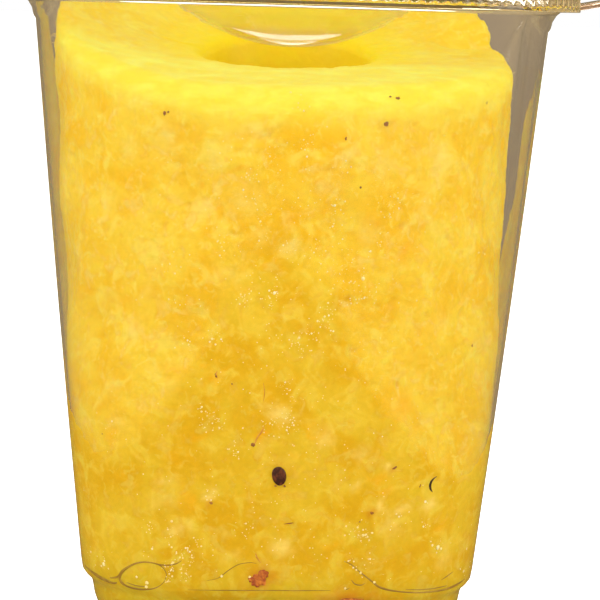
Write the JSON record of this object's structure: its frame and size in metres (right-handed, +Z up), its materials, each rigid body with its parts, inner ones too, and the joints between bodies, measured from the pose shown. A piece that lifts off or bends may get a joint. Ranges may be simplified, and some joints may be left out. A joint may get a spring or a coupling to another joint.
{
  "type": "cored pineapple in clear tub",
  "caption": "Peeled, cored pineapple cylinder with a slanted cut top and a core hole, pressed into a clear rounded-square tub with a tight dished lid and pull tab",
  "frame": {"origin": "Middle of the tub's flat base, on the surface it stands on", "axes": "+Z up, the longest extent; the front that the picture shows faces -Y; the lid's pull tab points along +X"},
  "size_m": [0.1197, 0.109, 0.1276],
  "materials": {
    "tub_plastic": "clear thermoformed plastic, glossy",
    "lid_plastic": "clear thermoformed plastic, glossy, ribbed skirt",
    "pineapple_flesh": "wet fibrous yellow fruit flesh"
  },
  "bodies": {
    "root": {"tub": "tub_plastic", "lid": "lid_plastic", "pineapple": "pineapple_flesh"}
  },
  "joints": []
}
